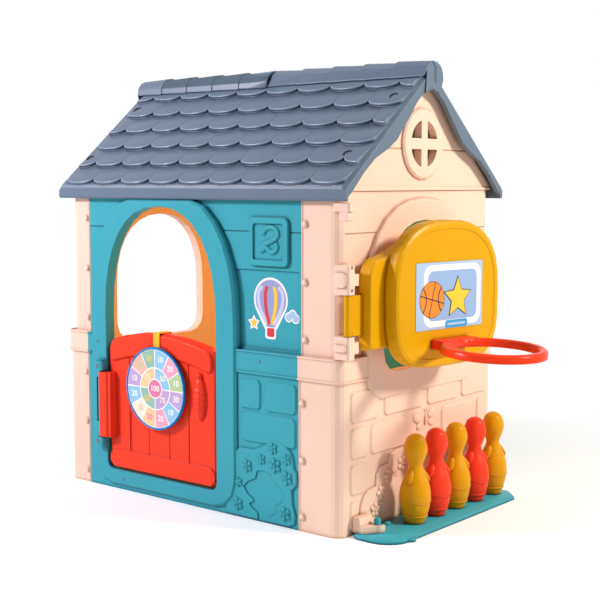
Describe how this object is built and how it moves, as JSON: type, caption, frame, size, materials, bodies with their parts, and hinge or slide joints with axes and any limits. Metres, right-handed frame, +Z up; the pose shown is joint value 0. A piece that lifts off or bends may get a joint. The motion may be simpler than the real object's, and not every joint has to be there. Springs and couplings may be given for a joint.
{
  "type": "activity playhouse",
  "caption": "Child's moulded playhouse with a scalloped tile roof, a half door carrying a target, a window shutter carrying a backboard and hoop, and a tray of skittles.",
  "frame": {"origin": "on the floor, under the middle of the overall bounding box", "axes": "+X along the ridge towards the gable with the hoop, -Y out of the door wall, +Z up"},
  "size_m": [1.3254, 0.7006, 1.1028],
  "materials": {
    "peach_plastic": "satin",
    "teal_plastic": "satin",
    "slate_plastic": "satin",
    "red_plastic": "semi-gloss",
    "mustard_plastic": "semi-gloss",
    "olive_plastic": "semi-gloss",
    "orange_plastic": "semi-gloss",
    "cream_board": "printed board",
    "sky_plastic": "satin",
    "yellow_strap": "woven band",
    "pale_blue_print": "printed film",
    "steel": "dull zinc"
  },
  "bodies": {
    "house": {"door_wall": "teal_plastic", "back_wall": "teal_plastic", "right_gable_wall": "peach_plastic", "left_gable_wall": "peach_plastic", "right_gable_top": "peach_plastic", "left_gable_top": "peach_plastic", "front_roof": "slate_plastic", "back_roof": "slate_plastic", "right_ridge_cap": "slate_plastic", "left_ridge_cap": "slate_plastic", "front_corner_clip": "peach_plastic", "back_corner_clip": "peach_plastic", "door_hinge_pin": "teal_plastic", "shutter_hinge_pin": "peach_plastic", "lower_hinge_bracket": "peach_plastic", "upper_hinge_bracket": "peach_plastic", "lower_bracket_cover": "peach_plastic", "upper_bracket_cover": "peach_plastic", "skittle_tray": "teal_plastic", "tray_arm": "peach_plastic", "front_roof_screw_1": "steel", "front_roof_screw_2": "steel", "front_roof_screw_3": "steel", "front_roof_screw_4": "steel", "back_roof_screw_1": "steel", "back_roof_screw_2": "steel", "back_roof_screw_3": "steel", "back_roof_screw_4": "steel", "right_ridge_screw_1": "steel", "right_ridge_screw_2": "steel", "left_ridge_screw_1": "steel", "left_ridge_screw_2": "steel"},
    "door": {"door": "red_plastic"},
    "target": {"target_disc": "cream_board", "target_rim": "sky_plastic", "target_strap": "yellow_strap"},
    "shutter": {"shutter": "mustard_plastic", "backboard": "mustard_plastic", "board_print": "pale_blue_print", "hoop": "orange_plastic"},
    "skittle_1": {"skittle_1": "olive_plastic"},
    "skittle_2": {"skittle_2": "red_plastic"},
    "skittle_3": {"skittle_3": "olive_plastic"},
    "skittle_4": {"skittle_4": "red_plastic"},
    "skittle_5": {"skittle_5": "olive_plastic"}
  },
  "joints": [
    {"name": "door_hinge", "type": "hinge", "parent": "house", "child": "door", "pos_m": [-0.49178, -0.34125, 0.226], "axis": [0, 0, -1], "range_deg": [0, 120]},
    {"name": "target_lift", "type": "slide", "parent": "door", "child": "target", "axis": [0, 0, 1], "range_m": [0, 0.12]},
    {"name": "shutter_hinge", "type": "hinge", "parent": "house", "child": "shutter", "pos_m": [0.30322, -0.31725, 0.513], "axis": [0, 0, -1], "range_deg": [-8, 110]},
    {"name": "skittle_1_lift", "type": "slide", "parent": "house", "child": "skittle_1", "axis": [0, 0, 1], "range_m": [0, 0.13]},
    {"name": "skittle_2_lift", "type": "slide", "parent": "house", "child": "skittle_2", "axis": [0, 0, 1], "range_m": [0, 0.13]},
    {"name": "skittle_3_lift", "type": "slide", "parent": "house", "child": "skittle_3", "axis": [0, 0, 1], "range_m": [0, 0.13]},
    {"name": "skittle_4_lift", "type": "slide", "parent": "house", "child": "skittle_4", "axis": [0, 0, 1], "range_m": [0, 0.13]},
    {"name": "skittle_5_lift", "type": "slide", "parent": "house", "child": "skittle_5", "axis": [0, 0, 1], "range_m": [0, 0.13]}
  ]
}
